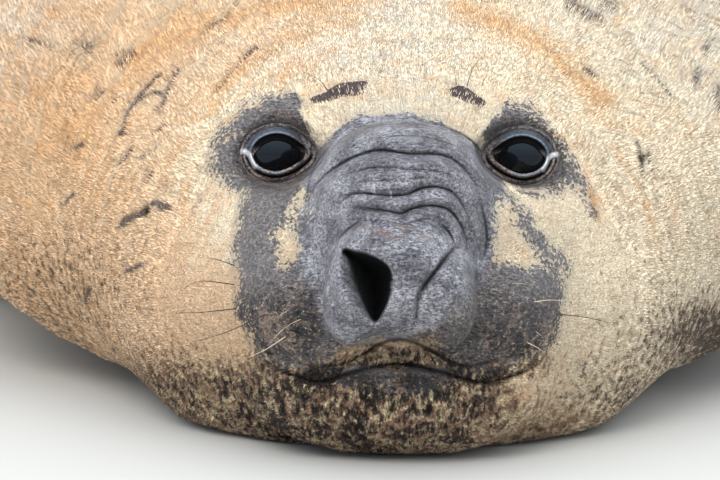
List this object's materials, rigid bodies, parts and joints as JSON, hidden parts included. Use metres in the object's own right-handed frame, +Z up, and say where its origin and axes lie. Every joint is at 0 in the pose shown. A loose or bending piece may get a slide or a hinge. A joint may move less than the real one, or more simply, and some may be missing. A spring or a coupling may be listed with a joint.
{
  "type": "elephant seal",
  "caption": "Life-size still model of a young bull elephant seal lying on its belly, head drawn back into the folds of its neck, moulting coat and bare dark face.",
  "frame": {"origin": "middle of the base of the whole animal, on the floor", "axes": "+Y runs back from the nose to the hind flippers, +X is to the right of someone who looks along +Y, which is the animal's left, and +Z is up"},
  "size_m": [1.9002, 4.2084, 0.886],
  "materials": {
    "gold_fur": "short matt fur",
    "dun_fur": "short matt fur",
    "bare_skin": "matt wrinkled skin",
    "eye": "wet gloss",
    "claw": "worn horn"
  },
  "bodies": {
    "root": {"head": "gold_fur", "proboscis": "bare_skin", "lower_jaw": "dun_fur", "neck": "gold_fur", "chest": "gold_fur", "belly": "dun_fur", "hips": "dun_fur", "tail": "dun_fur", "eye_left": "eye", "fore_flipper_left": "dun_fur", "hind_flipper_left": "dun_fur", "claw_left_1": "claw", "claw_left_2": "claw", "claw_left_3": "claw", "claw_left_4": "claw", "claw_left_5": "claw", "eye_right": "eye", "fore_flipper_right": "dun_fur", "hind_flipper_right": "dun_fur", "claw_right_1": "claw", "claw_right_2": "claw", "claw_right_3": "claw", "claw_right_4": "claw", "claw_right_5": "claw"}
  },
  "joints": []
}
